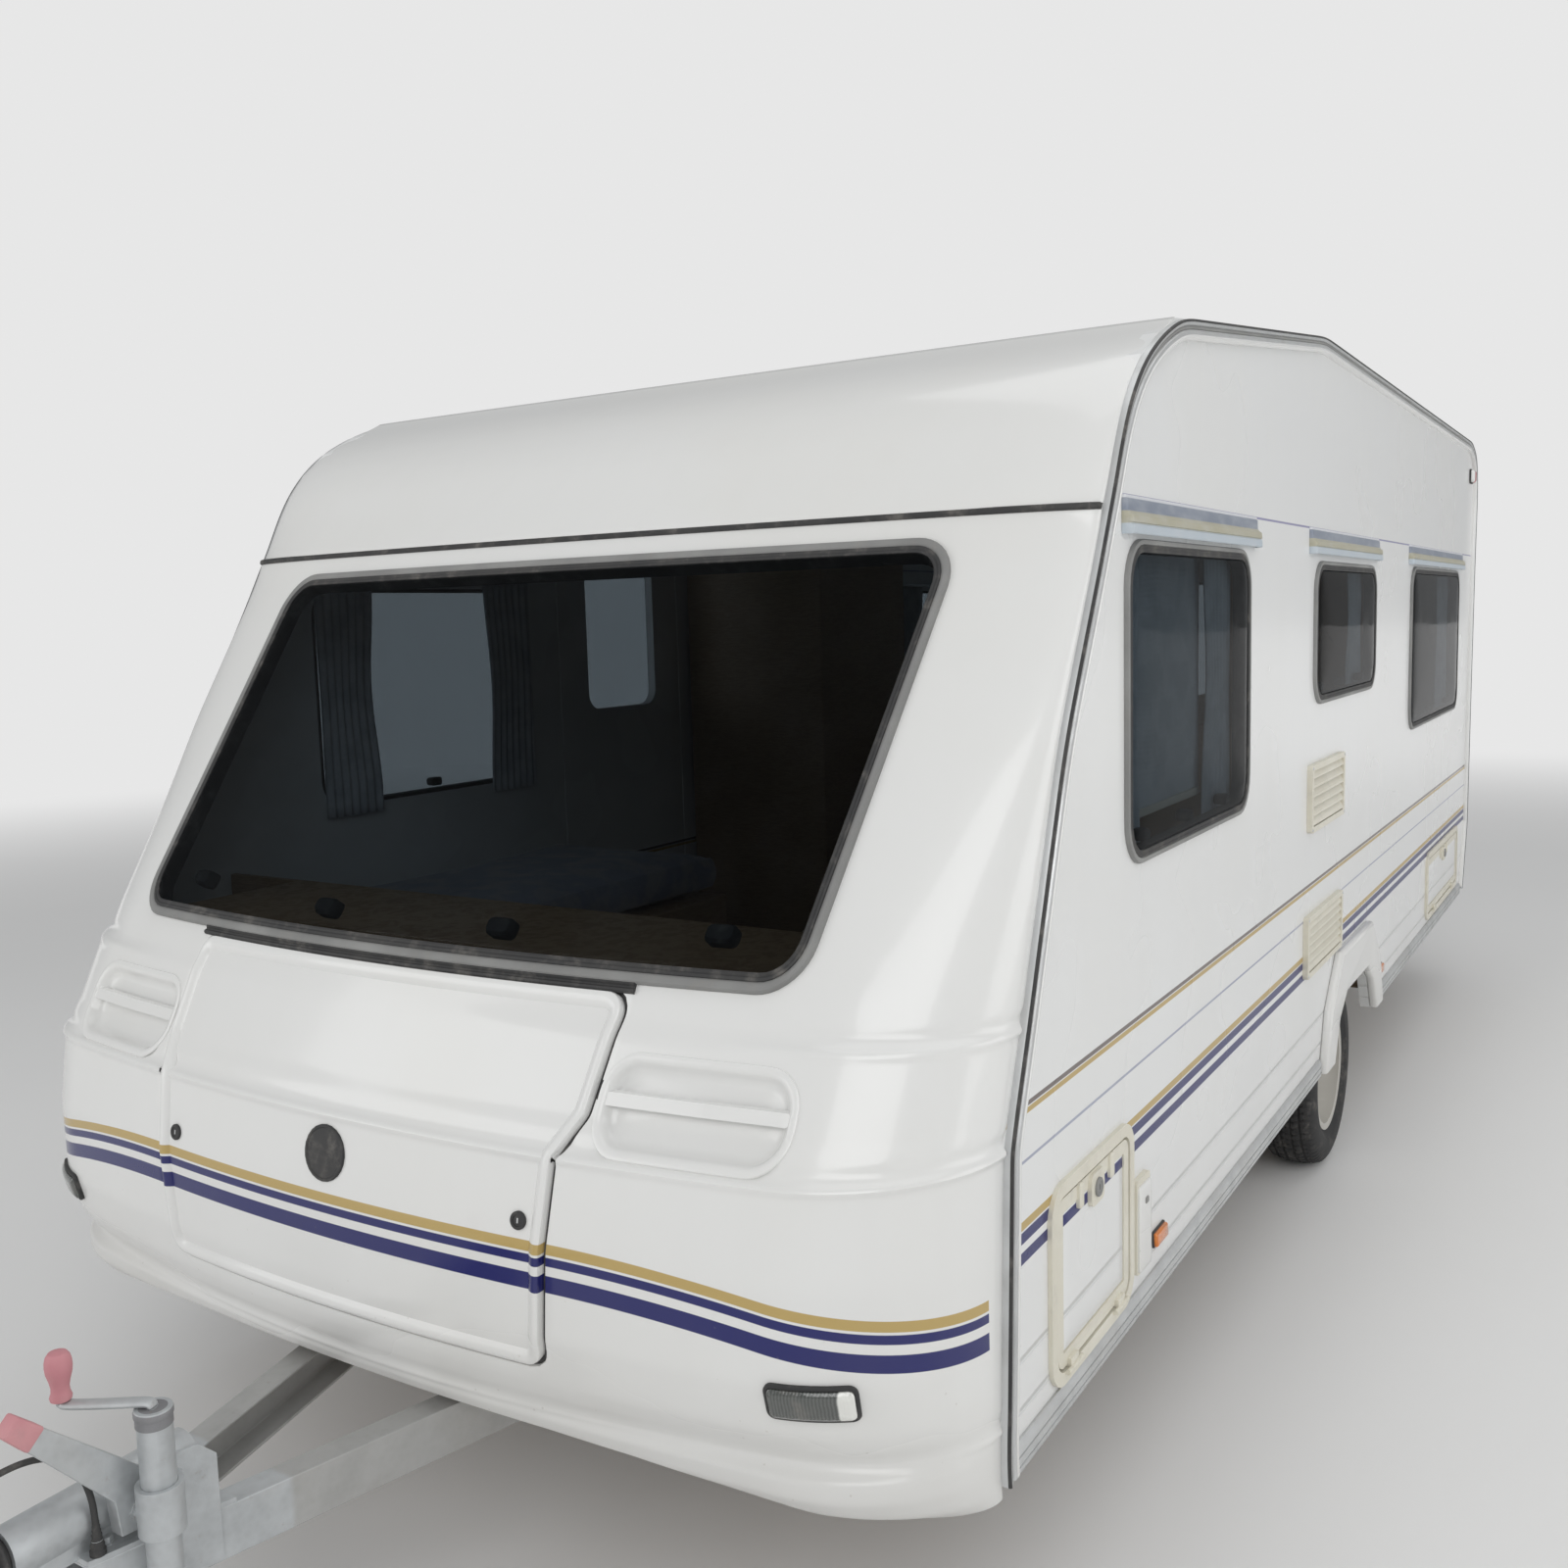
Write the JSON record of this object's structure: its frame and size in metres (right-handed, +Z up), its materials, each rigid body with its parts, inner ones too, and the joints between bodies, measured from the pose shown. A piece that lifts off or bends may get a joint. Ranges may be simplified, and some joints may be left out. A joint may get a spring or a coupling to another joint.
{
  "type": "travel caravan",
  "caption": "Single axle travel caravan on its wheels and jockey wheel, with opening door, lids, service doors and corner steadies.",
  "frame": {"origin": "on the ground under the middle of the overall length and width", "axes": "+X forward to the coupling, +Y to the left side, +Z up"},
  "size_m": [6.83, 2.13, 2.4561],
  "materials": {
    "white_gelcoat": "satin white moulding",
    "white_sheet": "white coated sheet",
    "acrylic": "dark tinted acrylic",
    "seal_rubber": "grey brown rubber",
    "rail_aluminium": "anodised",
    "cream_plastic": "cream moulding",
    "pale_blue_plastic": "pale grey blue",
    "lamp_red": "red lens",
    "lamp_amber": "amber lens",
    "galvanised": "galvanised",
    "cast_metal": "dull casting",
    "tyre_rubber": "black",
    "rim_paint": "silver painted steel",
    "gaiter_rubber": "black",
    "faded_grip": "faded red",
    "floor_board": "floor ply",
    "cabinet_board": "light veneer",
    "seat_fabric": "woven",
    "curtain_cloth": "light woven curtain"
  },
  "bodies": {
    "body": {"floor": "floor_board", "side_wall_left": "white_sheet", "side_wall_right": "white_sheet", "roof": "white_sheet", "front_panel": "white_gelcoat", "front_brow": "white_gelcoat", "rear_panel": "white_gelcoat", "windows": "acrylic", "window_seals": "seal_rubber", "gas_locker": "cabinet_board", "wall_rails": "rail_aluminium", "wheel_arch_trims": "white_gelcoat", "window_gutters": "pale_blue_plastic", "fridge_vents": "cream_plastic", "hatch_frames": "cream_plastic", "position_lamps": "lamp_amber", "tail_lamps": "lamp_red", "grab_handles": "white_gelcoat", "rooflight_frame": "cream_plastic", "chassis_frame": "galvanised", "drawbar_rails": "galvanised", "axle": "galvanised", "trailing_arms": "cast_metal", "overrun_unit": "galvanised", "overrun_gaiter": "gaiter_rubber", "coupling_head": "cast_metal", "handbrake_lever": "galvanised", "jockey_tube": "galvanised", "jockey_clamp": "galvanised", "jockey_crank": "galvanised", "crank_grip": "faded_grip", "steady_brackets": "galvanised", "furniture": "cabinet_board", "cushions": "seat_fabric", "curtains": "curtain_cloth", "road_lead": "gaiter_rubber", "road_plug": "gaiter_rubber"},
    "wheel_left": {"hub_left": "cast_metal", "rim_left": "rim_paint", "tyre_left": "tyre_rubber"},
    "wheel_right": {"hub_right": "cast_metal", "rim_right": "rim_paint", "tyre_right": "tyre_rubber"},
    "jockey_leg": {"jockey_leg": "galvanised"},
    "jockey_fork": {"jockey_fork": "galvanised"},
    "jockey_roller": {"jockey_roller": "gaiter_rubber"},
    "entrance_door": {"entrance_door": "white_sheet", "door_window": "acrylic"},
    "gas_locker_lid": {"gas_locker_lid": "white_gelcoat"},
    "service_door_front": {"service_door_front": "cream_plastic"},
    "service_door_rear": {"service_door_rear": "cream_plastic"},
    "rooflight_lid": {"rooflight_lid": "acrylic"},
    "steady_leg_front_left": {"steady_leg_front_left": "galvanised"},
    "steady_strut_front_left": {"steady_strut_front_left": "galvanised"},
    "steady_leg_front_right": {"steady_leg_front_right": "galvanised"},
    "steady_strut_front_right": {"steady_strut_front_right": "galvanised"},
    "steady_leg_rear_left": {"steady_leg_rear_left": "galvanised"},
    "steady_strut_rear_left": {"steady_strut_rear_left": "galvanised"},
    "steady_leg_rear_right": {"steady_leg_rear_right": "galvanised"},
    "steady_strut_rear_right": {"steady_strut_rear_right": "galvanised"}
  },
  "joints": [
    {"name": "wheel_left_spin", "type": "hinge", "parent": "body", "child": "wheel_left", "pos_m": [-0.677, 0.9125, 0.29], "axis": [0, 1, 0], "continuous": true},
    {"name": "wheel_right_spin", "type": "hinge", "parent": "body", "child": "wheel_right", "pos_m": [-0.677, -0.9125, 0.29], "axis": [0, 1, 0], "continuous": true},
    {"name": "jockey_slide", "type": "slide", "parent": "body", "child": "jockey_leg", "axis": [0, 0, 1], "range_m": [0, 0.115]},
    {"name": "jockey_swivel", "type": "hinge", "parent": "jockey_leg", "child": "jockey_fork", "pos_m": [2.697, 0.10628, 0.232], "axis": [0, 0, 1], "continuous": true},
    {"name": "jockey_roll", "type": "hinge", "parent": "jockey_fork", "child": "jockey_roller", "pos_m": [2.659, 0.10628, 0.1], "axis": [0, 1, 0], "continuous": true},
    {"name": "entrance_door_hinge", "type": "hinge", "parent": "body", "child": "entrance_door", "pos_m": [0.4755, -1.05, 1.32], "axis": [0, 0, 1], "range_deg": [0, 165]},
    {"name": "gas_locker_lid_hinge", "type": "hinge", "parent": "body", "child": "gas_locker_lid", "pos_m": [2.153, 0, 1.144], "axis": [0, -1, 0], "range_deg": [0, 70]},
    {"name": "service_door_front_hinge", "type": "hinge", "parent": "body", "child": "service_door_front", "pos_m": [1.565, 1.0529, 0.4765], "axis": [-1, 0, 0], "range_deg": [0, 90]},
    {"name": "service_door_rear_hinge", "type": "hinge", "parent": "body", "child": "service_door_rear", "pos_m": [-2.585, 1.0529, 0.486], "axis": [-1, 0, 0], "range_deg": [0, 90]},
    {"name": "rooflight_hinge", "type": "hinge", "parent": "body", "child": "rooflight_lid", "pos_m": [-1.108, 0, 2.42606], "axis": [0, -1, 0], "range_deg": [0, 50]},
    {"name": "steady_front_left", "type": "hinge", "parent": "body", "child": "steady_leg_front_left", "pos_m": [1.403, 0.72, 0.412], "axis": [0, -1, 0], "range_deg": [0, 68]},
    {"name": "steady_strut_front_left", "type": "hinge", "parent": "steady_leg_front_left", "child": "steady_strut_front_left", "pos_m": [1.203, 0.72, 0.412], "axis": [0, -1, 0], "range_deg": [-136, 0]},
    {"name": "steady_front_right", "type": "hinge", "parent": "body", "child": "steady_leg_front_right", "pos_m": [1.403, -0.72, 0.412], "axis": [0, -1, 0], "range_deg": [0, 68]},
    {"name": "steady_strut_front_right", "type": "hinge", "parent": "steady_leg_front_right", "child": "steady_strut_front_right", "pos_m": [1.203, -0.72, 0.412], "axis": [0, -1, 0], "range_deg": [-136, 0]},
    {"name": "steady_rear_left", "type": "hinge", "parent": "body", "child": "steady_leg_rear_left", "pos_m": [-2.947, 0.72, 0.412], "axis": [0, 1, 0], "range_deg": [0, 68]},
    {"name": "steady_strut_rear_left", "type": "hinge", "parent": "steady_leg_rear_left", "child": "steady_strut_rear_left", "pos_m": [-2.747, 0.72, 0.412], "axis": [0, 1, 0], "range_deg": [-136, 0]},
    {"name": "steady_rear_right", "type": "hinge", "parent": "body", "child": "steady_leg_rear_right", "pos_m": [-2.947, -0.72, 0.412], "axis": [0, 1, 0], "range_deg": [0, 68]},
    {"name": "steady_strut_rear_right", "type": "hinge", "parent": "steady_leg_rear_right", "child": "steady_strut_rear_right", "pos_m": [-2.747, -0.72, 0.412], "axis": [0, 1, 0], "range_deg": [-136, 0]}
  ],
  "couplings": [
    {"joint": "steady_strut_front_left", "follows": "steady_front_left", "ratio": -2},
    {"joint": "steady_strut_front_right", "follows": "steady_front_right", "ratio": -2},
    {"joint": "steady_strut_rear_left", "follows": "steady_rear_left", "ratio": -2},
    {"joint": "steady_strut_rear_right", "follows": "steady_rear_right", "ratio": -2}
  ]
}
